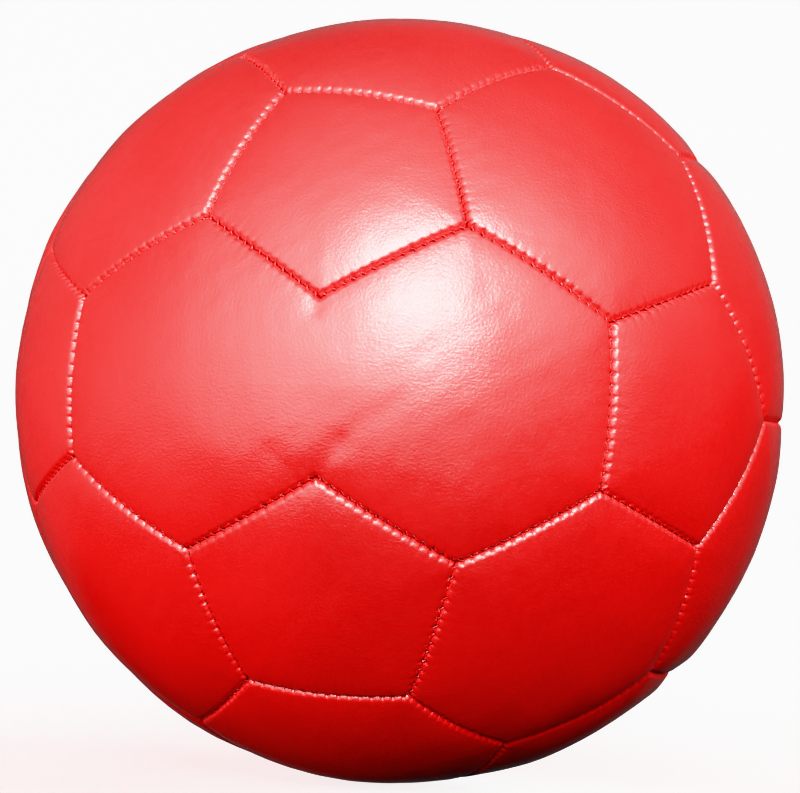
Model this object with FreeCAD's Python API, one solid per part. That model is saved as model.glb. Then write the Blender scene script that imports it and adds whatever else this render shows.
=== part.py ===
"""A size 5 football: thirty stitched panels around an air bladder with a two-piece valve.

The frame is +Z up with its origin at the ball's centre. -Y is the ball's front, where the seam between
two hexagons is missing and one double panel takes their place.
"""

import FreeCAD
import Part
import functools
import math
import os
from FreeCAD import Placement, Rotation, Vector

# Driving dimensions, in millimetres.
ball_radius = 110.0
cover_thickness = 0.9
foam_thickness = 1.1
lining_thickness = 0.4
joint_gap = 0.1
corner_radius = 2.0
edge_roll_radius = 1.8
flange_depth = 3.6

bladder_gap = 0.1
bladder_thickness = 0.7

thread_rail_width = 0.6
thread_rung_width = 0.4
thread_depth = 3.0
stitch_pitch = 3.0
thread_end_clearance = 3.6

valve_direction = Vector(1, 1, 1)
panel_hole_radius = 3.6
neck_radius = 3.5
neck_sink = 0.25
cup_radius = 4.5
cup_floor = 1.5
flange_radius = 14.0
valve_flange_thickness = 0.7
patch_radius = 20.0
patch_thickness = 0.35
patch_clearance = 0.05
insert_radius = 2.5
insert_clearance = 0.1
insert_length = 17.0
insert_tip_chamfer = 0.6
needle_bore_radius = 1.25
needle_bore_depth = 13.0

# Margins of the construction: how far a cutting shape reaches past what it cuts, how alike two radii
# are when they are the same, and the cosines that tell a panel from its neighbours.
overreach = 1.4
cut_margin = 1.0
same_radius = 0.001
pair_cosine = 0.9
same_direction = 0.99

# Where the sewing wandered: a corner's direction, then how far it sits to the east and to the north.
sewing_drift = [
    (Vector(0.20, -0.65, 0.73), -2.4, -4.9),
    (Vector(0.33, -0.85, 0.40), -1.3, 0.6),
    (Vector(0.00, -0.98, 0.20), -0.9, 1.5),
    (Vector(0.00, -0.98, -0.20), 1.0, -1.0),
    (Vector(0.33, -0.85, -0.40), 0.8, 1.2),
    (Vector(-0.65, -0.73, -0.20), -2.0, 0.6),
    (Vector(-0.65, -0.73, 0.20), -1.4, -0.3),
    (Vector(0.40, -0.33, -0.85), -2.4, 1.0),
    (Vector(-0.20, -0.65, -0.73), 0.4, 1.8),
]

# Worked out from the driving dimensions.
flange_end_radius = ball_radius - flange_depth
lining_inner_radius = ball_radius - cover_thickness - foam_thickness - lining_thickness
bladder_radius = flange_end_radius - bladder_gap
neck_end_radius = ball_radius - neck_sink
insert_bore_radius = insert_radius + insert_clearance
origin = Vector(0, 0, 0)
golden = (1 + math.sqrt(5)) / 2
same_point = 0.05


def unit(vector):
    """The same direction at length 1."""
    direction = Vector(vector)
    direction.normalize()
    return direction


def compass(direction):
    """A sort key that runs from the top down, and round each level from +X."""
    around = round(math.degrees(math.atan2(direction.y, direction.x)), 1) % 360
    return (round(-direction.z, 2), around)


def in_ring(points, axis):
    """The points in order, counter-clockwise around an axis that points at the viewer."""
    side = unit(points[0] - axis * points[0].dot(axis))
    up = axis.cross(side)
    return sorted(points, key=lambda p: math.atan2(p.dot(up), p.dot(side)))


# ---- The seam pattern ----


def icosahedron():
    """The twelve pentagon centres, from the top down."""
    signs = (-1, 1)
    points = []
    for a in signs:
        for b in signs:
            points += [Vector(b * golden, a, 0), Vector(0, b * golden, a), Vector(a, 0, b * golden)]
    return sorted([unit(p) for p in points], key=compass)


def drifted(corner):
    """A corner, moved to where the sewing put it."""
    for place, east_mm, north_mm in sewing_drift:
        if corner.distanceToPoint(unit(place)) < same_point:
            east = unit(Vector(0, 0, 1).cross(corner))
            north = corner.cross(east)
            return unit(corner + (east * east_mm + north * north_mm) / ball_radius)
    return corner


def corner_between(near, far):
    """The corner a third of the way from one pentagon centre to the next."""
    return drifted(unit(near * 2 + far))


def seam_pattern():
    """The outlines of the pentagons and the hexagons, each a ring of corner directions."""
    centres = icosahedron()
    reach = 2 / math.sqrt(1 + golden**2) + same_point

    def joined(a, b):
        return 0 < a.distanceToPoint(b) < reach

    pentagons = [in_ring([corner_between(a, b) for b in centres if joined(a, b)], a) for a in centres]
    hexagons = []
    for i, a in enumerate(centres):
        for j, b in enumerate(centres[:i]):
            for c in centres[:j]:
                if joined(a, b) and joined(b, c) and joined(a, c):
                    trio = (a, b, c)
                    corners = [corner_between(p, q) for p in trio for q in trio if p != q]
                    hexagons.append(in_ring(corners, unit(a + b + c)))
    hexagons.sort(key=lambda ring: compass(middle(ring)))
    return pentagons, hexagons


def middle(ring):
    """The direction of an outline's middle."""
    return unit(sum(ring, Vector()))


def is_in(corner, ring):
    """Whether an outline has this corner."""
    return any(corner.distanceToPoint(other) < same_point for other in ring)


def merged(first, second):
    """The outline of two panels cut as one, without the seam between them."""
    outline = []
    for ring, other in ((first, second), (second, first)):
        count = len(ring)
        last_shared = [
            k for k in range(count) if is_in(ring[k], other) and not is_in(ring[(k + 1) % count], other)
        ][0]
        outline += [ring[(last_shared + k) % count] for k in range(count - 1)]
    return outline


def all_outlines():
    """Every panel's outline by its node name."""
    pentagons, hexagons = seam_pattern()
    front = [ring for ring in hexagons if is_front_pair(middle(ring), -1)]
    rear = [ring for ring in hexagons if is_front_pair(middle(ring), 1)]
    plain = [ring for ring in hexagons if ring not in front + rear]
    outlines = {f"panel_pentagon_{k:02d}": ring for k, ring in enumerate(pentagons, 1)}
    outlines.update({f"panel_hexagon_{k:02d}": ring for k, ring in enumerate(plain, 1)})
    outlines["panel_double_front"] = merged(*front)
    outlines["panel_double_rear"] = merged(*rear)
    return outlines


def is_front_pair(direction, side):
    """Whether a hexagon is one of the two that meet at the front (side -1) or the rear (side 1)."""
    return direction.y * side > pair_cosine


def all_seams(outlines):
    """Each seam once, as a pair of corner directions."""
    seams = []
    for ring in outlines.values():
        for start, end in zip(ring, ring[1:] + ring[:1]):
            if not any(is_in(start, seam) and is_in(end, seam) for seam in seams):
                seams.append((start, end))
    return seams


# ---- Panels ----


def inset(ring, distance):
    """The outline drawn in by a distance from every seam."""
    normals = [unit(a.cross(b)) for a, b in zip(ring, ring[1:] + ring[:1])]
    sine = distance / ball_radius
    corners = []
    for k, corner in enumerate(ring):
        before, after = normals[k - 1], normals[k]
        flat = (before + after) * (sine / (1 + before.dot(after)))
        along = unit(before.cross(after))
        if along.dot(corner) < 0:
            along = along * -1
        corners.append(flat + along * math.sqrt(1 - flat.Length**2))
    return corners


def sphere_for(centre, radius):
    """A sphere whose own edge lies on the far side from a panel."""
    ball = Part.makeSphere(radius)
    ball.Placement = Placement(origin, Rotation(Vector(-1, 0, 0), centre))
    return ball


def wedge(ring, centre, radius):
    """The part of a sphere that lies under an outline, down to where the flanges end."""
    far = overreach * radius
    sides = []
    for start, end in zip(ring, ring[1:] + ring[:1]):
        sides.append(Part.Face(Part.makePolygon([origin, start * far, end * far, origin])))
        sides.append(Part.Face(Part.makePolygon([centre * far, end * far, start * far, centre * far])))
    pyramid = Part.Solid(Part.makeShell(sides))
    return sphere_for(centre, radius).common(pyramid).cut(sphere_for(centre, flange_end_radius))


def rolled(body, radius, corner, roll):
    """A wedge with its upright corners rounded, and then the edges of its outer face rolled over."""
    body = body.makeFillet(corner, [edge for edge in body.Edges if isinstance(edge.Curve, Part.Line)])
    outer = [
        face
        for face in body.Faces
        if isinstance(face.Surface, Part.Sphere) and abs(face.Surface.Radius - radius) < same_radius
    ]
    return body.makeFillet(roll, [edge for face in outer for edge in face.OuterWire.Edges])


def panel_layers(ring):
    """One panel's cover, foam and lining: three nested lids with turned-in flanges."""
    centre = middle(ring)
    nested = []
    depth = 0
    for thickness in (cover_thickness, foam_thickness, lining_thickness, 0):
        body = wedge(inset(ring, joint_gap / 2 + depth), centre, ball_radius - depth)
        if edge_roll_radius - depth > 0:
            corner, roll = corner_radius - depth, edge_roll_radius - depth
            body = rolled(body, ball_radius - depth, corner, roll)
        nested.append(body)
        depth += thickness
    return [outer.cut(inner) for outer, inner in zip(nested, nested[1:])]


# ---- Thread ----


@functools.lru_cache
def thread_ladder(span):
    """The stitches of one seam of this angle: a rail inside each flange, and a rung per stitch.

    It is made on the +Z side of the ball, with the seam along X.
    """
    panel_thickness = cover_thickness + foam_thickness + lining_thickness
    side = joint_gap / 2 + panel_thickness + thread_rail_width / 2
    level = ball_radius - thread_depth
    reach = span / 2 - thread_end_clearance / ball_radius
    rails = []
    for offset in (-side, side):
        section = Part.makePlane(thread_rail_width, thread_rail_width)
        section.translate(Vector(-thread_rail_width / 2, -thread_rail_width / 2, 0))
        section.rotate(origin, Vector(0, 1, 0), 90)
        section.translate(Vector(0, offset, level))
        section.rotate(origin, Vector(0, 1, 0), -math.degrees(reach))
        rails.append(section.revolve(origin, Vector(0, 1, 0), math.degrees(2 * reach)))
    rungs = []
    count = round(2 * reach * ball_radius / stitch_pitch)
    for k in range(count):
        rung = Part.makeBox(thread_rung_width, 2 * side, thread_rung_width)
        rung.translate(Vector(-thread_rung_width / 2, -side, level - thread_rung_width / 2))
        rung.rotate(origin, Vector(0, 1, 0), math.degrees(reach * ((2 * k + 1) / count - 1)))
        rungs.append(rung)
    return rails[0].multiFuse(rails[1:] + rungs)


def seam_stitches(start, end):
    """One seam's ladder of thread, in its place."""
    outward = unit(start + end)
    across = unit(start.cross(end))
    ladder = thread_ladder(round(start.getAngle(end), 5)).copy()
    ladder.Placement = Placement(origin, Rotation(across.cross(outward), across, outward, "ZXY"))
    return ladder


# ---- Bladder and valve ----


def rod(radius, low, high, axis):
    """A cylinder on an axis from the ball's centre, between two distances from it."""
    return Part.makeCylinder(radius, high - low, axis * low, axis)


def cap(radius, low, high, axis):
    """A round piece of a spherical shell, centred on an axis."""
    shell = sphere_for(axis, high).cut(sphere_for(axis, low))
    return shell.common(rod(radius, low - flange_radius, high + cut_margin, axis))


def bladder(axis):
    """The air bladder, open where the valve's cup goes through it."""
    shell = sphere_for(axis, bladder_radius).cut(sphere_for(axis, bladder_radius - bladder_thickness))
    return shell.cut(rod(cup_radius, bladder_radius - flange_radius, ball_radius, axis))


def valve_housing(axis):
    """The moulded rubber housing: a flange on the bladder, a neck to the panel and a cup below."""
    flange = cap(flange_radius, bladder_radius, bladder_radius + valve_flange_thickness, axis)
    cup_end = neck_end_radius - insert_length - cup_floor
    cup = rod(cup_radius, cup_end, bladder_radius + valve_flange_thickness / 2, axis)
    neck = rod(neck_radius, cup_end, neck_end_radius, axis)
    bore = rod(insert_bore_radius, cup_end - cut_margin, neck_end_radius + cut_margin, axis)
    return flange.multiFuse([cup, neck]).cut(bore)


def valve_insert(axis):
    """The rubber plug that a needle goes into, with a blind bore from its outer face."""
    low = neck_end_radius - insert_length
    body = rod(insert_radius, low, neck_end_radius, axis)
    tip = [edge for edge in body.Edges if edge.Closed and edge.CenterOfMass.Length < low + cut_margin]
    body = body.makeChamfer(insert_tip_chamfer, tip)
    return body.cut(rod(needle_bore_radius, neck_end_radius - needle_bore_depth, ball_radius, axis))


def valve_patch(axis):
    """The cloth patch behind the panel that carries the valve."""
    high = lining_inner_radius - patch_clearance
    ring = cap(patch_radius, high - patch_thickness, high, axis)
    return ring.cut(rod(panel_hole_radius, ball_radius - flange_radius, ball_radius, axis))


# ---- All nodes ----


def build():
    """Every node's shape by its name."""
    valve_axis = unit(valve_direction)
    valve_hole = rod(panel_hole_radius, ball_radius - flange_radius, ball_radius + cut_margin, valve_axis)
    nodes = {}
    inner_layers = {}
    outlines = all_outlines()
    for name, ring in outlines.items():
        layers = panel_layers(ring)
        if middle(ring).dot(valve_axis) > same_direction:
            layers = [layer.cut(valve_hole) for layer in layers]
        nodes[name] = layers[0]
        shape = name.split("_")[1]
        inner_layers.setdefault(f"{shape}_foams", []).append(layers[1])
        inner_layers.setdefault(f"{shape}_linings", []).append(layers[2])
    for name, solids in inner_layers.items():
        nodes[name] = Part.makeCompound(solids)
    nodes["seam_thread"] = Part.makeCompound([seam_stitches(*seam) for seam in all_seams(outlines)])
    nodes["bladder"] = bladder(valve_axis)
    nodes["valve_housing"] = valve_housing(valve_axis)
    nodes["valve_insert"] = valve_insert(valve_axis)
    nodes["valve_patch"] = valve_patch(valve_axis)
    return nodes


os.makedirs("parts", exist_ok=True)
for node, shape in build().items():
    shape.exportStep(f"parts/{node}.step")
    print(node, "solids", len(shape.Solids), "valid", shape.isValid(), "mm3", round(shape.Volume))
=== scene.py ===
"""The looks of a red size 5 football: puffed leather panels, whip-stitched seams, valve and bladder."""

import math

import bpy
import numpy as np
from mathutils import Matrix, Vector


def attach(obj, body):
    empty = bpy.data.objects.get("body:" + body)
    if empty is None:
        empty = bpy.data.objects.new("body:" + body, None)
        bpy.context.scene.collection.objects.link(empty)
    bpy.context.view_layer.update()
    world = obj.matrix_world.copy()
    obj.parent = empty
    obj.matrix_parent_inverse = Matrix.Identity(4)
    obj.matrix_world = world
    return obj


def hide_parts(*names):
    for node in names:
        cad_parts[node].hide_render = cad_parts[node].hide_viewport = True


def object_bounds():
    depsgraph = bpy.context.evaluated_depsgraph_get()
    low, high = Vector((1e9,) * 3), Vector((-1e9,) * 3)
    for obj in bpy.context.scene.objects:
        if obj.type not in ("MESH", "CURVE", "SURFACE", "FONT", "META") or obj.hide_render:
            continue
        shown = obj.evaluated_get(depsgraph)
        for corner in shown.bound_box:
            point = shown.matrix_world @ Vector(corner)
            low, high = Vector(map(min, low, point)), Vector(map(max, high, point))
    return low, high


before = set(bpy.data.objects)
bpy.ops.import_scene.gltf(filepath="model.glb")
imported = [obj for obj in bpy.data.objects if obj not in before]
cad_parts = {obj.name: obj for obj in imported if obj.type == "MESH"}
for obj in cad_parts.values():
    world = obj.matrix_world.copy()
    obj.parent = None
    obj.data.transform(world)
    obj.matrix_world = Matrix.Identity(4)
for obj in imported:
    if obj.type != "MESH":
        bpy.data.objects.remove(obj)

cad_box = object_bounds()

# ---- Driving sizes, in millimetres unless the name says otherwise ----

METRES = 0.001
ball_radius = 110.0
flange_end_depth = 3.6
deepest_notch = 2.85
shallowest_face = 0.75
joint_gap = 0.1
cover_thickness = 0.9
edge_roll = 1.6
inner_roll = 0.9

stitches_per_seam = 15
columns_per_stitch = 12
thread_radius = 0.21
thread_half_width = 0.8
thread_middle_depth = 2.3
thread_half_height = 0.95

valve_direction = (1, 1, 1)
valve_hole_radius = 3.6

golden = (1 + math.sqrt(5)) / 2
same_point = 0.05

# A panel's face: how far its middle stands out, and how far it falls away to the seams, over what reach.
middle_puff = 0.75
broad_fall, broad_reach = 0.9, 12
near_fall, near_reach = 0.35, 3.5

# What a stitch does to a cover: the notch of its needle hole, and the pinch of the thread.
notch_pull, notch_reach, notch_width = 1.3, 0.7, 0.13
pinch_pull, pinch_reach = 0.16, 1.2
slack_pull, slack_reach = 0.04, 2.6
no_stitch_share = 0.03
usual_strength, strength_swing = 0.85, 0.35
seam_reach_beyond_nearest = 0.3

# How finely a cover is divided: where its even rings end, and their steps in degrees.
even_inset = 14
fine_ring_step, plain_ring_step = 0.62, 0.9
flange_bend_depth = 2.9
inner_inset = 6

# The camera: where it stands from the ball's centre, which way is up, and its distance in ball radii.
camera_direction = (0.2012, -0.9794, -0.0188)
camera_up = (-0.05605, -0.03067, 0.99796)
camera_radii = 8.6
camera_lens = 147.5
camera_shift_up = 0.0050
fill_width = 25

# Distances from the centre, in metres, between which the painted shade in the seams grows.
shade_full = 0.1070
leather_shade_ends = 0.1085
thread_shade_ends = 0.1084

# Where the sewing wandered: a corner's direction, then how far it sits to the east and to the north.
sewing_drift = [
    ((0.20, -0.65, 0.73), -2.4, -4.9),
    ((0.33, -0.85, 0.40), -1.3, 0.6),
    ((0.00, -0.98, 0.20), -0.9, 1.5),
    ((0.00, -0.98, -0.20), 1.0, -1.0),
    ((0.33, -0.85, -0.40), 0.8, 1.2),
    ((-0.65, -0.73, -0.20), -2.0, 0.6),
    ((-0.65, -0.73, 0.20), -1.4, -0.3),
    ((0.40, -0.33, -0.85), -2.4, 1.0),
    ((-0.20, -0.65, -0.73), 0.4, 1.8),
]

# Where the ball isn't quite round: a direction, how far it stands out or in, and over what reach.
swells = [
    ((-0.06, -0.03, 1.00), -0.9, 38),
    ((0.06, 0.03, -1.00), -0.9, 38),
    ((0.74, 0.16, -0.65), 1.5, 16),
    ((-0.87, -0.19, 0.45), 0.6, 26),
    ((0.76, 0.14, 0.63), 0.6, 14),
]

# Creases in the covers, each near a corner of the regular pattern: where it starts and where it ends,
# as places to the east and to the north of that corner, then how deep and how wide it is.
creases = [
    ((0.00, -0.98, -0.20), (-1.5, -3), (7.5, 8), 0.28, 2.4),
    ((0.00, -0.98, -0.20), (7.5, 8), (22.5, 20), 0.12, 3.2),
    ((0.00, -0.98, -0.20), (-1.5, -3), (-11.5, 5.5), 0.14, 2.2),
    ((0.00, -0.98, 0.20), (-3.5, 3.5), (-1.5, -2), 0.30, 2.0),
    ((0.00, -0.98, 0.20), (-1.5, -2), (-10.5, -7.5), 0.07, 2.2),
    ((0.33, -0.85, 0.40), (1.5, -17), (16.5, -29), 0.05, 1.8),
    ((0.65, -0.73, 0.20), (-8.5, 19.5), (-31.5, 25.5), 0.08, 1.4),
]

# ---- Small helpers ----


def unit(vector):
    """The same direction at length 1, for one vector or a row of them."""
    vector = np.asarray(vector, float)
    return vector / np.linalg.norm(vector, axis=-1, keepdims=True)


def compass(direction):
    """A sort key that runs from the top down, and round each level from +X."""
    around = round(math.degrees(math.atan2(direction[1], direction[0])), 1) % 360
    return (round(-float(direction[2]), 2), around)


def in_ring(points, axis):
    """The points in order, counter-clockwise around an axis that points at the viewer."""
    side = unit(points[0] - axis * np.dot(points[0], axis))
    up = np.cross(axis, side)
    return sorted(points, key=lambda p: math.atan2(np.dot(p, up), np.dot(p, side)))


def smooth_step(low, high, x):
    """0 below low, 1 above high, and an S-curve between."""
    t = np.clip((x - low) / (high - low), 0, 1)
    return t * t * (3 - 2 * t)


def waves(points, wavelength, count, seed):
    """A smooth random field over points in millimetres, about -1 to 1, from plane waves."""
    draw = np.random.RandomState(seed)
    total = np.zeros(len(points))
    for _ in range(count):
        heading = unit(draw.normal(size=3))
        length = wavelength * draw.uniform(0.75, 1.35)
        total += np.sin(points @ heading * (2 * math.pi / length) + draw.uniform(0, 2 * math.pi))
    return total / math.sqrt(count)


# ---- The seam pattern, as in the CAD model ----


def moved(direction, east_mm, north_mm):
    """A direction, moved over the ball's surface by so much to the east and to the north."""
    east = unit(np.cross((0, 0, 1), direction))
    north = np.cross(direction, east)
    return unit(direction + (east * east_mm + north * north_mm) / ball_radius)


def drifted(corner):
    """A corner, moved to where the sewing put it."""
    for place, east_mm, north_mm in sewing_drift:
        if np.linalg.norm(corner - unit(place)) < same_point:
            return moved(corner, east_mm, north_mm)
    return corner


def seam_pattern():
    """The outlines of the pentagons and the hexagons, each a ring of corner directions."""
    signs = (-1, 1)
    centres = [
        unit(point)
        for a in signs
        for b in signs
        for point in ((b * golden, a, 0), (0, b * golden, a), (a, 0, b * golden))
    ]
    centres.sort(key=compass)
    reach = 2 / math.sqrt(1 + golden**2) + same_point

    def joined(a, b):
        return 0 < np.linalg.norm(a - b) < reach

    def corner_between(near, far):
        return drifted(unit(near * 2 + far))

    pentagons = [in_ring([corner_between(a, b) for b in centres if joined(a, b)], a) for a in centres]
    hexagons = []
    for i, a in enumerate(centres):
        for j, b in enumerate(centres[:i]):
            for c in centres[:j]:
                if joined(a, b) and joined(b, c) and joined(a, c):
                    trio = (a, b, c)
                    corners = [corner_between(p, q) for p in trio for q in trio if p is not q]
                    hexagons.append(in_ring(corners, unit(a + b + c)))
    hexagons.sort(key=lambda ring: compass(middle(ring)))
    return pentagons, hexagons


def middle(ring):
    """The direction of an outline's middle."""
    return unit(sum(ring))


def is_in(corner, ring):
    """Whether an outline has this corner."""
    return any(np.linalg.norm(corner - other) < same_point for other in ring)


def merged(first, second):
    """The outline of two panels cut as one, without the seam between them."""
    outline = []
    for ring, other in ((first, second), (second, first)):
        count = len(ring)
        last_shared = [
            k for k in range(count) if is_in(ring[k], other) and not is_in(ring[(k + 1) % count], other)
        ][0]
        outline += [ring[(last_shared + k) % count] for k in range(count - 1)]
    return outline


def all_outlines():
    """Every panel's outline by its CAD node's name."""
    pentagons, hexagons = seam_pattern()
    front = [ring for ring in hexagons if middle(ring)[1] < -0.9]
    rear = [ring for ring in hexagons if middle(ring)[1] > 0.9]
    plain = [ring for ring in hexagons if abs(middle(ring)[1]) < 0.9]
    outlines = {f"panel_pentagon_{k:02d}": ring for k, ring in enumerate(pentagons, 1)}
    outlines.update({f"panel_hexagon_{k:02d}": ring for k, ring in enumerate(plain, 1)})
    outlines["panel_double_front"] = merged(*front)
    outlines["panel_double_rear"] = merged(*rear)
    return outlines


def ring_seams(ring):
    """An outline's seams, as pairs of corner directions."""
    return list(zip(ring, ring[1:] + ring[:1]))


def all_seams(outlines):
    """Each seam once."""
    seams = []
    for ring in outlines.values():
        for start, end in ring_seams(ring):
            if not any(is_in(start, seam) and is_in(end, seam) for seam in seams):
                seams.append((start, end))
    return seams


# ---- The shape of a panel's surface ----


def seam_frame(start, end):
    """A seam's start, its directions across and ahead, and its angle, alike for both of its panels."""
    if tuple(np.round(start, 3)) > tuple(np.round(end, 3)):
        start, end = end, start
    across = unit(np.cross(start, end))
    ahead = np.cross(across, start)
    return start, across, ahead, math.acos(np.dot(start, end))


def along_seam(points, start, end):
    """Each point's distance from a seam in millimetres, the nearest place on it, and that place's share."""
    start, _, ahead, span = seam_frame(start, end)
    angle = np.clip(np.arctan2(points @ ahead, points @ start), 0, span)
    foot = np.cos(angle)[:, None] * start + np.sin(angle)[:, None] * ahead
    chord = np.linalg.norm(points - foot, axis=1)
    return 2 * np.arcsin(np.minimum(chord / 2, 1)) * ball_radius, foot, angle / span


def stitch_phase(foot, share):
    """The stitch count along a seam, with the machine's uneven pace; a stitch is at each half number."""
    unevenness = 0.12 * waves(foot * ball_radius, 14, 4, seed=5)
    return share * stitches_per_seam + unevenness * np.sin(share * math.pi)


def seam_pull(points, ring):
    """The rounded distance from the nearest seam, and how much of a needle notch and of a pinch is there."""
    blend = 0.45
    seams = [along_seam(points, *seam) for seam in ring_seams(ring)]
    distances = np.array([distance for distance, _, _ in seams])
    nearest = distances.min(axis=0)
    rounded = nearest - blend * np.log(np.exp(-(distances - nearest) / blend).sum(axis=0))
    notch = np.zeros(len(points))
    pillow = np.zeros(len(points))
    for distance, foot, share in seams:
        phase = stitch_phase(foot, share)
        strength = usual_strength + strength_swing * waves(foot * ball_radius, 7, 5, seed=8)
        for from_end in (share, 1 - share):
            strength = strength * smooth_step(0, no_stitch_share, from_end)
        strength = strength * (distance < nearest + seam_reach_beyond_nearest)
        notch = np.maximum(notch, strength * np.exp(-(((phase % 1 - 0.5) / notch_width) ** 2)))
        pillow = np.maximum(pillow, strength * (0.5 - 0.5 * np.cos(2 * math.pi * phase)) ** 2)
    return rounded, notch, pillow


def panel_height(points, ring):
    """How far a panel's face stands from the ball's radius, in millimetres."""
    distance, notch, pillow = seam_pull(points, ring)
    inside = np.maximum(distance, 0)
    puff = middle_puff - broad_fall * np.exp(-inside / broad_reach) - near_fall * np.exp(-inside / near_reach)
    back = np.clip(edge_roll - inside, 0, edge_roll)
    roll = np.sqrt(edge_roll**2 - back**2) - edge_roll + 1.5 * np.minimum(distance, 0)
    pucker = -notch_pull * notch * np.exp(-((inside / notch_reach) ** 2))
    pinch = pinch_pull * np.exp(-((inside / pinch_reach) ** 1.5))
    pucker -= pillow * (pinch + slack_pull * np.exp(-inside / slack_reach))
    spots = points * ball_radius
    sag = 0.22 * waves(spots, 60, 6, seed=1) + 0.06 * waves(spots, 22, 8, seed=2)
    for direction, out, reach in swells:
        apart = np.linalg.norm(points - unit(direction), axis=1) * ball_radius
        sag += out * np.exp(-((apart / reach) ** 2))
    ripple = 0.02 * waves(spots, 7, 10, seed=3)
    ripple += 0.035 * np.exp(-inside / 5) * waves(spots, 5, 10, seed=4)
    for corner, start, end, deep, wide in creases:
        apart, _, _ = along_seam(points, moved(unit(corner), *start), moved(unit(corner), *end))
        sag -= deep * np.exp(-((apart / wide) ** 2))
    settled = smooth_step(0, 8, inside)
    height = puff + roll + pucker + (sag + ripple) * (0.35 + 0.65 * settled)
    deepest = shallowest_face + (deepest_notch - shallowest_face) * (1 - smooth_step(0.9, 2.0, inside))
    return np.maximum(height, -deepest)


# ---- Meshes ----


def inset_points(ring, distance, columns):
    """Directions on the outline drawn in by a distance from every seam, with so many columns to a seam."""
    normals = [unit(np.cross(a, b)) for a, b in ring_seams(ring)]
    sine = math.sin(distance / ball_radius)
    corners = []
    for k, corner in enumerate(ring):
        before, after = normals[k - 1], normals[k]
        flat = (before + after) * (sine / (1 + np.dot(before, after)))
        along = unit(np.cross(before, after))
        along = along * np.sign(np.dot(along, corner))
        corners.append(flat + along * math.sqrt(1 - np.dot(flat, flat)))
    share = (np.arange(columns) / columns)[:, None]
    runs = []
    for k, (start, end) in enumerate(ring_seams(corners)):
        run = start * (1 - share) + end * share
        run = run - (run @ normals[k])[:, None] * normals[k]
        runs.append(unit(run) * math.sqrt(1 - sine**2) + normals[k] * sine)
    return np.vstack(runs)


def towards_middle(points, centre, scale):
    """A ring of directions drawn in towards the centre, rounder as it gets smaller."""
    flat = points / (points @ centre)[:, None] - centre
    reach = np.linalg.norm(flat, axis=1, keepdims=True)
    blend = scale**1.5
    return unit(centre + flat / reach * scale * (reach * blend + reach.min() * (1 - blend)))


class Skin:
    """A closed mesh grown ring by ring."""

    def __init__(self):
        self.points = []
        self.faces = []
        self.count = 0
        self.last = None
        self.first = None

    def add_points(self, points):
        """Adds points and returns their numbers."""
        numbers = np.arange(self.count, self.count + len(points))
        self.points.append(points)
        self.count += len(points)
        return numbers

    def add_ring(self, points):
        """Joins a ring to the one before it, which has as many points, or half or double as many."""
        ring = self.add_points(points)
        if self.last is None:
            self.first = ring
        else:
            self.join(self.last, ring)
        self.last = ring

    def join(self, above, below):
        """Faces between two rings, wound so that they face away from the ring above's inside."""
        if len(above) == len(below):
            next_above, next_below = np.roll(above, -1), np.roll(below, -1)
            self.faces += np.stack([above, below, next_below, next_above], 1).tolist()
            return
        fine, coarse = (above, below) if len(above) > len(below) else (below, above)
        even, odd, after = fine[0::2], fine[1::2], np.roll(fine[0::2], -1)
        next_coarse = np.roll(coarse, -1)
        triangles = [(even, coarse, odd), (odd, coarse, next_coarse), (odd, next_coarse, after)]
        for a, b, c in triangles:
            corners = (a, b, c) if fine is above else (c, b, a)
            self.faces += np.stack(corners, 1).tolist()

    def cap(self, point, at_start):
        """Closes the first or last ring with a fan to one point."""
        tip = self.add_points(np.array([point]))[0]
        ring = self.first if at_start else self.last
        tips = np.full(len(ring), tip)
        order = (tips, ring, np.roll(ring, -1)) if at_start else (ring, tips, np.roll(ring, -1))
        self.faces += np.stack(order, 1).tolist()

    def piece(self, name):
        """The finished object, in metres, with smooth shading."""
        mesh = bpy.data.meshes.new(name)
        mesh.from_pydata((np.vstack(self.points) * METRES).tolist(), [], self.faces)
        mesh.polygons.foreach_set("use_smooth", [True] * len(mesh.polygons))
        mesh.update()
        made = bpy.data.objects.new(name, mesh)
        bpy.context.scene.collection.objects.link(made)
        return made


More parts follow.
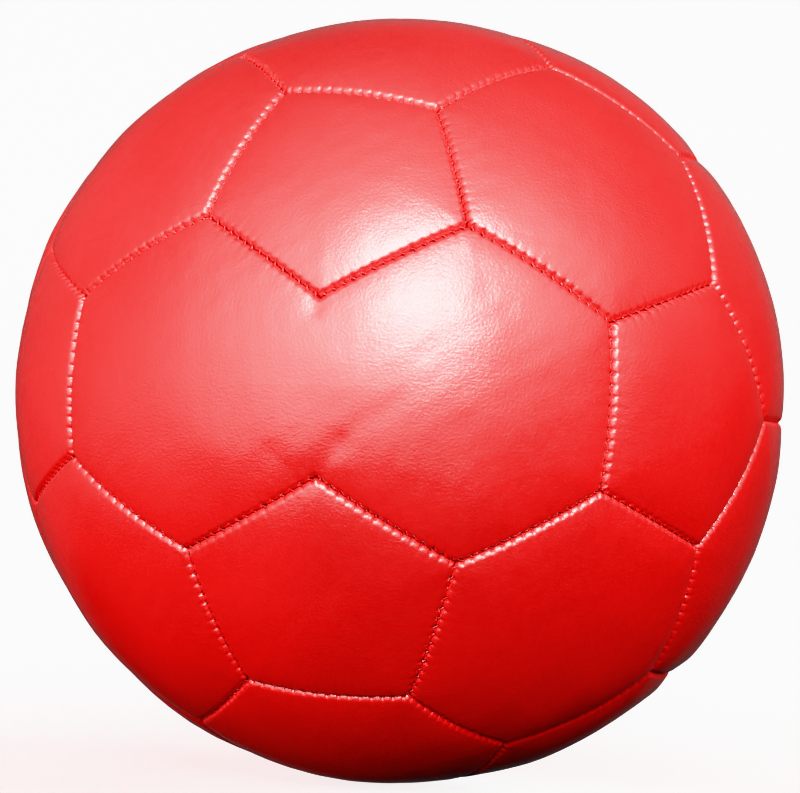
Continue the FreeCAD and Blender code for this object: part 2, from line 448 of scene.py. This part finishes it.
def panel_skin(name, ring, has_valve, is_fine):
    """One cover panel: its puffed face, rolled edge, turned-in flange and inner side."""
    centre = middle(ring)
    full = stitches_per_seam * columns_per_stitch
    skin = Skin()

    def face(points):
        skin.add_ring(points * (ball_radius + panel_height(points, ring))[:, None])

    def inner(points, depth):
        skin.add_ring(points * (ball_radius - depth))

    # the face, from its middle out to where the rolled edge begins
    columns_inside = full // 2 if is_fine else full // 4
    last_even = inset_points(ring, even_inset, columns_inside)
    cosines = last_even @ centre
    ring_step = fine_ring_step if is_fine else plain_ring_step
    rings_inside = int(math.degrees(math.acos(cosines.min())) / ring_step)
    narrowest = math.tan(math.acos(cosines.max()))
    smallest = valve_hole_radius / ball_radius / narrowest if has_valve else 0
    scales = np.linspace(smallest, 1, rings_inside + 1)[0 if has_valve else 1 :]
    for scale in scales:
        face(towards_middle(last_even, centre, scale) if scale < 1 else last_even)
    for distance in (11.5, 9.3):
        face(inset_points(ring, distance, columns_inside))
    for distance in (7.6, 6.2, 5.0):
        face(inset_points(ring, distance, full // 2))
    for distance in (4.0, 3.2, 2.6, 2.1, 1.75):
        face(inset_points(ring, distance, full))
    # the rolled edge, by angle round its curve
    for angle in np.radians((90, 74, 60, 46, 32, 18, 6)):
        face(inset_points(ring, edge_roll * (1 - math.cos(angle)) + joint_gap / 2, full))
    # down the flange and up its inner side
    wall = joint_gap / 2
    inner_wall = wall + cover_thickness
    inner(inset_points(ring, wall, full // 2), flange_bend_depth)
    inner(inset_points(ring, wall, full // 4), flange_end_depth)
    inner(inset_points(ring, inner_wall, full // 4), flange_end_depth)
    inner(inset_points(ring, inner_wall, full // 4), cover_thickness + inner_roll)
    part_roll = inner_roll * 0.3
    inner(inset_points(ring, inner_wall + part_roll, full // 4), cover_thickness + part_roll)
    inner(inset_points(ring, inner_wall + inner_roll, full // 4), cover_thickness)
    inner(inset_points(ring, inner_inset, full // 4), cover_thickness)
    inner(last_even, cover_thickness)
    for scale in scales[::-1][3::3]:
        inner(towards_middle(last_even, centre, scale), cover_thickness)
    if has_valve:
        inner(towards_middle(last_even, centre, smallest), cover_thickness)
        skin.join(skin.last, skin.first)
    else:
        top = panel_height(centre[None, :], ring)[0]
        skin.cap(centre * (ball_radius + top), at_start=True)
        skin.cap(centre * (ball_radius - cover_thickness), at_start=False)
    return skin.piece(name)


def tube(skin, path, radius, sides):
    """A closed tube along a path, added to a skin."""
    tangents = unit(np.gradient(path, axis=0))
    outward = unit(path)
    side = unit(np.cross(tangents, outward))
    up = np.cross(side, tangents)
    skin.last = skin.first = None
    angles = np.arange(sides) * (2 * math.pi / sides)
    for place, right, lift in zip(path, side, up):
        around = np.cos(angles)[:, None] * right + np.sin(angles)[:, None] * lift
        skin.add_ring(place + around * radius)
    skin.cap(path[0], at_start=True)
    skin.cap(path[-1], at_start=False)


def stitch_thread(seams):
    """All the sewing thread: along each seam a whip stitch that shows where it crosses the joint."""
    skin = Skin()
    steps_per_stitch = 12
    lag = 0.35
    for seam in seams:
        start, across, ahead, span = seam_frame(*seam)
        turn = np.linspace(0.25, stitches_per_seam - 0.25, stitches_per_seam * steps_per_stitch)
        angle = 2 * math.pi * turn
        wanted = turn + lag / (2 * math.pi) * np.sin(2 * angle)
        share = wanted / stitches_per_seam
        # a few steps towards the places where the uneven pace puts each turn of the thread
        for _ in range(3):
            at = np.cos(share * span)[:, None] * start + np.sin(share * span)[:, None] * ahead
            share = share - (stitch_phase(at, share) - wanted) / stitches_per_seam
        place = np.cos(share * span)[:, None] * start + np.sin(share * span)[:, None] * ahead
        depth = thread_middle_depth + thread_half_height * np.cos(angle)
        sideways = thread_half_width * np.sin(angle)
        path = place * (ball_radius - depth)[:, None] + sideways[:, None] * across
        tube(skin, path, thread_radius, sides=6)
    return skin.piece("seam_stitching")


# ---- Materials ----


class Nodes:
    """A short way to write a node material."""

    def __init__(self, name):
        self.material = bpy.data.materials.new(name)
        self.material.use_nodes = True
        self.tree = self.material.node_tree
        self.shader = self.tree.nodes["Principled BSDF"]

    def node(self, kind, **values):
        """A node with some of its properties and inputs set; a tuple (node, output) makes a link."""
        made = self.tree.nodes.new(kind)
        for key, value in values.items():
            key = key.replace("_", " ") if key[0].isupper() else key
            if not key[0].isupper():
                setattr(made, key, value)
            else:
                self.set(made, key, value)
        return made

    def set(self, node, socket, value):
        """Sets or links one input."""
        if isinstance(value, tuple) and hasattr(value[0], "outputs"):
            self.tree.links.new(value[0].outputs[value[1]], node.inputs[socket])
        else:
            node.inputs[socket].default_value = value

    def place(self, scale):
        """Object coordinates, multiplied so that a texture of scale 1 has features 1 mm wide."""
        coordinates = self.node("ShaderNodeTexCoord")
        return self.node("ShaderNodeMapping", Vector=(coordinates, "Object"), Scale=scale)

    def noise(self, place, scale, detail, roughness=0.5, distortion=0.0):
        """A noise texture on mapped coordinates."""
        return self.node(
            "ShaderNodeTexNoise", Vector=(place, "Vector"), Scale=scale, Detail=detail,
            Roughness=roughness, Distortion=distortion,
        )

    def range(self, source, output, low, high, to_low, to_high):
        """A clamped change of range."""
        made = self.node("ShaderNodeMapRange", Value=(source, output))
        for socket, value in zip(("From Min", "From Max", "To Min", "To Max"), (low, high, to_low, to_high)):
            made.inputs[socket].default_value = value
        return made

    def mix(self, factor, output, one, other):
        """A colour between two, by a factor."""
        made = self.node("ShaderNodeMix", data_type="RGBA")
        self.set(made, 0, (factor, output))
        made.inputs[6].default_value = one
        made.inputs[7].default_value = other
        return made

    def painted_shade_inside(self, colour, low, high, dark):
        """A colour that turns dark nearer the ball's centre: shade painted into the colour down in the seams.
        """
        centre = self.node("ShaderNodeTexCoord")
        reach = self.node("ShaderNodeVectorMath", operation="LENGTH")
        self.set(reach, 0, (centre, "Object"))
        made = self.mix(self.range(reach, "Value", low, high, 0, 1), "Result", dark, dark)
        self.set(made, 7, (colour, 2))
        return made

    def bump(self, source, output, distance, strength=1.0, normal=None):
        """A bump from a height; distance is in metres."""
        made = self.node("ShaderNodeBump", Height=(source, output), Distance=distance, Strength=strength)
        if normal:
            self.set(made, "Normal", (normal, "Normal"))
        return made


PER_MM = (1000, 1000, 1000)


def red_leather():
    """Glossy red PVC leather: a clear coat over red, fine pebble grain and faint lying wrinkles."""
    n = Nodes("glossy_red_leather")
    place = n.place(PER_MM)
    tone = n.range(n.noise(place, 0.03, 3), "Fac", 0.35, 0.65, 0, 1)
    colour = n.mix(tone, "Result", (0.78, 0.011, 0.010, 1), (0.84, 0.013, 0.012, 1))
    # painted shade: the leather's colour darkens down in the seams
    colour = n.painted_shade_inside(colour, shade_full, leather_shade_ends, (0.10, 0.001, 0.001, 1))
    pebble = n.node("ShaderNodeTexVoronoi", feature="SMOOTH_F1", Vector=(place, "Vector"), Scale=1.5)
    pebble.inputs["Smoothness"].default_value = 0.6
    fine = n.noise(place, 2.6, 2)
    lying = n.place((420, 420, 1500))
    wrinkle = n.noise(lying, 1.0, 4, 0.6, 0.8)
    where = n.range(n.noise(place, 0.05, 2), "Fac", 0.42, 0.6, 0.15, 1)
    wrinkled = n.node("ShaderNodeMath", operation="MULTIPLY")
    n.set(wrinkled, 0, (wrinkle, "Fac"))
    n.set(wrinkled, 1, (where, "Result"))
    grain = n.bump(pebble, "Distance", 0.00008, 0.5)
    grain = n.bump(fine, "Fac", 0.00006, 0.5, grain)
    grain = n.bump(wrinkled, "Value", 0.00014, 0.5, grain)
    rough = n.range(n.noise(place, 0.4, 3), "Fac", 0.3, 0.7, 0.46, 0.54)
    n.set(n.shader, "Base Color", (colour, 2))
    n.set(n.shader, "Roughness", (rough, "Result"))
    n.set(n.shader, "Normal", (grain, "Normal"))
    n.set(n.shader, "Coat Normal", (grain, "Normal"))
    n.shader.inputs["Coat Weight"].default_value = 1.0
    n.shader.inputs["Coat Roughness"].default_value = 0.10
    n.shader.inputs["Specular IOR Level"].default_value = 0.25
    n.shader.inputs["Diffuse Roughness"].default_value = 0.35
    return n.material


def waxed_thread():
    """Red polyester thread with its twist."""
    n = Nodes("red_waxed_thread")
    place = n.place(PER_MM)
    twist = n.node("ShaderNodeTexWave", Vector=(place, "Vector"), Scale=1.6, Distortion=1.5)
    colour = n.mix(twist, "Fac", (0.60, 0.012, 0.012, 1), (0.85, 0.06, 0.055, 1))
    # painted shade: the thread's colour darkens where it lies deep in the seams
    colour = n.painted_shade_inside(colour, shade_full, thread_shade_ends, (0.16, 0.002, 0.002, 1))
    n.set(n.shader, "Base Color", (colour, 2))
    n.set(n.shader, "Normal", (n.bump(twist, "Fac", 0.00008, 0.8), "Normal"))
    n.shader.inputs["Roughness"].default_value = 0.35
    n.shader.inputs["Sheen Weight"].default_value = 0.2
    return n.material


def speckled(name, dark, light, scale, rough, bump_distance):
    """A matt moulded surface with fine mottling."""
    n = Nodes(name)
    place = n.place(PER_MM)
    spots = n.noise(place, scale, 4, 0.6)
    colour = n.mix(n.range(spots, "Fac", 0.35, 0.65, 0, 1), "Result", dark, light)
    n.set(n.shader, "Base Color", (colour, 2))
    n.set(n.shader, "Roughness", (n.range(spots, "Fac", 0.3, 0.7, rough - 0.08, rough + 0.08), "Result"))
    n.set(n.shader, "Normal", (n.bump(spots, "Fac", bump_distance, 0.6), "Normal"))
    return n.material


def woven(name, dark, light, threads_per_mm):
    """A plain weave from two crossed sets of waves."""
    n = Nodes(name)
    place = n.place(PER_MM)
    warp = n.node("ShaderNodeTexWave", Vector=(place, "Vector"), bands_direction="X", Scale=threads_per_mm)
    weft = n.node("ShaderNodeTexWave", Vector=(place, "Vector"), bands_direction="Z", Scale=threads_per_mm)
    cross = n.node("ShaderNodeMath", operation="MAXIMUM")
    n.set(cross, 0, (warp, "Fac"))
    n.set(cross, 1, (weft, "Fac"))
    colour = n.mix(cross, "Value", dark, light)
    n.set(n.shader, "Base Color", (colour, 2))
    n.set(n.shader, "Normal", (n.bump(cross, "Value", 0.00012, 0.8), "Normal"))
    n.shader.inputs["Roughness"].default_value = 0.85
    return n.material


def dress(piece, material):
    """Gives a piece one material all over."""
    piece.data.materials.clear()
    piece.data.materials.append(material)


# ---- The ball ----


def make_ball():
    """The covers and the thread, and the finishes of what stays as CAD."""
    leather = red_leather()
    outlines = all_outlines()
    valve_axis = unit(valve_direction)
    for node, ring in outlines.items():
        has_valve = np.dot(middle(ring), valve_axis) > 0.99
        cover = panel_skin(f"cover_{node[6:]}", ring, has_valve, is_fine=node == "panel_double_front")
        dress(cover, leather)
        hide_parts(node)
        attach(cover, "ball")
    thread = stitch_thread(all_seams(outlines))
    dress(thread, waxed_thread())
    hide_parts("seam_thread")
    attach(thread, "ball")

    foam = speckled("white_foam", (0.62, 0.61, 0.57, 1), (0.80, 0.79, 0.75, 1), 1.4, 0.9, 0.0002)
    lining = woven("woven_lining", (0.50, 0.47, 0.40, 1), (0.78, 0.75, 0.68, 1), 0.9)
    butyl = speckled("butyl_rubber", (0.018, 0.018, 0.019, 1), (0.035, 0.035, 0.036, 1), 0.7, 0.55, 0.0001)
    valve = speckled("valve_rubber", (0.020, 0.019, 0.019, 1), (0.045, 0.043, 0.042, 1), 2.5, 0.45, 0.00004)
    patch = woven("patch_cloth", (0.45, 0.44, 0.40, 1), (0.70, 0.69, 0.64, 1), 1.3)
    finishes = {"bladder": butyl, "valve_housing": valve, "valve_insert": valve, "valve_patch": patch}
    for kind in ("pentagon", "hexagon", "double"):
        finishes[f"{kind}_foams"] = foam
        finishes[f"{kind}_linings"] = lining
    for node, material in finishes.items():
        dress(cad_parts[node], material)


# ---- The stage ----


def make_camera():
    """The camera, low in front and a little to the right, with the ball leaning in its view."""
    toward = unit(camera_direction)
    up = np.array(camera_up)
    up = unit(up - toward * np.dot(up, toward))
    right = np.cross(up, toward)
    distance = camera_radii * ball_radius * METRES
    data = bpy.data.cameras.new("camera")
    data.lens = camera_lens
    data.sensor_width = 36
    data.shift_y = camera_shift_up
    camera = bpy.data.objects.new("camera", data)
    turn = Matrix(np.column_stack([right, up, toward]).tolist()).to_4x4()
    camera.matrix_world = Matrix.Translation(Vector(toward * distance)) @ turn
    bpy.context.scene.collection.objects.link(camera)
    bpy.context.scene.camera = camera
    return right, up, toward


def fill(name, toward, strength):
    """A broad soft light from far off that lights the colour and leaves the gloss alone."""
    data = bpy.data.lights.new(name, "SUN")
    data.angle = math.radians(fill_width)
    data.energy = strength
    light = bpy.data.objects.new(name, data)
    light.rotation_mode = "QUATERNION"
    light.rotation_quaternion = Vector(toward).to_track_quat("Z", "Y")
    light.visible_glossy = False
    bpy.context.scene.collection.objects.link(light)


def studio_glow(glows, walls, floor, horizon):
    """The soft bright areas round the ball that its gloss shows, from (direction, tightness, strength)."""
    world = bpy.data.worlds.new("studio")
    bpy.context.scene.world = world
    world.use_nodes = True
    world.cycles_visibility.diffuse = False
    tree = world.node_tree
    coordinates = tree.nodes.new("ShaderNodeTexCoord").outputs["Generated"]

    def math_node(operation, *values):
        made = tree.nodes.new("ShaderNodeMath")
        made.operation = operation
        for k, value in enumerate(values):
            if isinstance(value, (int, float)):
                made.inputs[k].default_value = value
            else:
                tree.links.new(value, made.inputs[k])
        return made.outputs[0]

    apart = tree.nodes.new("ShaderNodeSeparateXYZ")
    tree.links.new(coordinates, apart.inputs[0])
    above = tree.nodes.new("ShaderNodeMapRange")
    above.interpolation_type = "SMOOTHSTEP"
    tree.links.new(apart.outputs["Z"], above.inputs["Value"])
    above.inputs["From Min"].default_value, above.inputs["From Max"].default_value = horizon
    total = walls
    for direction, tightness, strength in glows:
        facing = tree.nodes.new("ShaderNodeVectorMath")
        facing.operation = "DOT_PRODUCT"
        tree.links.new(coordinates, facing.inputs[0])
        facing.inputs[1].default_value = direction
        falling = math_node("MULTIPLY_ADD", facing.outputs["Value"], tightness, -tightness)
        glow = math_node("MULTIPLY", math_node("EXPONENT", falling), strength)
        total = math_node("ADD", total, glow)
    seen_light = math_node("MULTIPLY_ADD", total, above.outputs[0], floor)
    tree.links.new(seen_light, tree.nodes["Background"].inputs["Strength"])
    tree.nodes["Background"].inputs["Color"].default_value = (1, 1, 1, 1)


def studio_shell():
    """A pale floor that curves up into a pale wall and ceiling all round."""
    floor_clearance = 0.0004
    low = cad_box[0][2] - floor_clearance
    floor_reach, bend, wall_height = 3.0, 1.0, 5.0
    under_ball = 0.4
    profile = [(0.0, low), (under_ball, low), (floor_reach, low)]
    for angle in np.radians(np.arange(15, 91, 15)):
        profile.append((floor_reach + bend * math.sin(angle), low + bend * (1 - math.cos(angle))))
    profile += [(floor_reach + bend, wall_height), (0.0, wall_height + 1)]
    turns = 48
    points, faces = [], []
    for reach, height in profile:
        for k in range(turns):
            angle = 2 * math.pi * k / turns
            points.append((reach * math.cos(angle), reach * math.sin(angle), height))
    for row in range(len(profile) - 1):
        for k in range(turns):
            a, b = row * turns + k, row * turns + (k + 1) % turns
            faces.append((a, b, b + turns, a + turns))
    mesh = bpy.data.meshes.new("studio_shell")
    mesh.from_pydata(points, [], faces)
    mesh.polygons.foreach_set("use_smooth", [True] * len(faces))
    shell = bpy.data.objects.new("studio_shell", mesh)
    bpy.context.scene.collection.objects.link(shell)
    n = Nodes("pale_studio")
    n.shader.inputs["Base Color"].default_value = (0.9, 0.9, 0.9, 1)
    n.shader.inputs["Roughness"].default_value = 0.9
    n.shader.inputs["Emission Color"].default_value = (1, 1, 1, 1)
    n.shader.inputs["Emission Strength"].default_value = 1.0
    dress(shell, n.material)
    shell.visible_glossy = False
    shell.visible_diffuse = False
    shell.visible_shadow = False


def make_stage(right, up, toward):
    """Soft studio light inside a pale shell."""

    def seen(x, y, z):
        return unit(x * right + y * up + z * toward)

    studio_glow(
        [
            (seen(0.12, 0.53, 0.84), 55, 160),
            (seen(0.00, 0.50, 0.87), 22, 26),
            (seen(-0.48, 0.30, 0.82), 7, 7.5),
            (seen(-0.10, 0.95, 0.30), 5, 1.2),
            (seen(-0.90, 0.00, 0.10), 4, 0.4),
            (seen(0.62, 0.58, 0.52), 13, 4.0),
            (seen(0.15, 0.25, -0.96), 14, 0.15),
        ],
        walls=0.05,
        floor=0.02,
        horizon=(-0.38, -0.28),
    )
    fill("fill_front", seen(0, 0.36, 0.93), 3.7)
    fill("fill_left", seen(-1, -0.05, -0.15), 3.0)
    fill("fill_right", seen(1, 0.40, -0.15), 2.3)
    fill("fill_back_left", seen(-0.5, 0.25, -0.83), 1.8)
    fill("fill_back_right", seen(0.5, 0.30, -0.81), 1.8)
    studio_shell()


make_ball()
make_stage(*make_camera())
bpy.context.scene.view_settings.view_transform = "Khronos PBR Neutral"
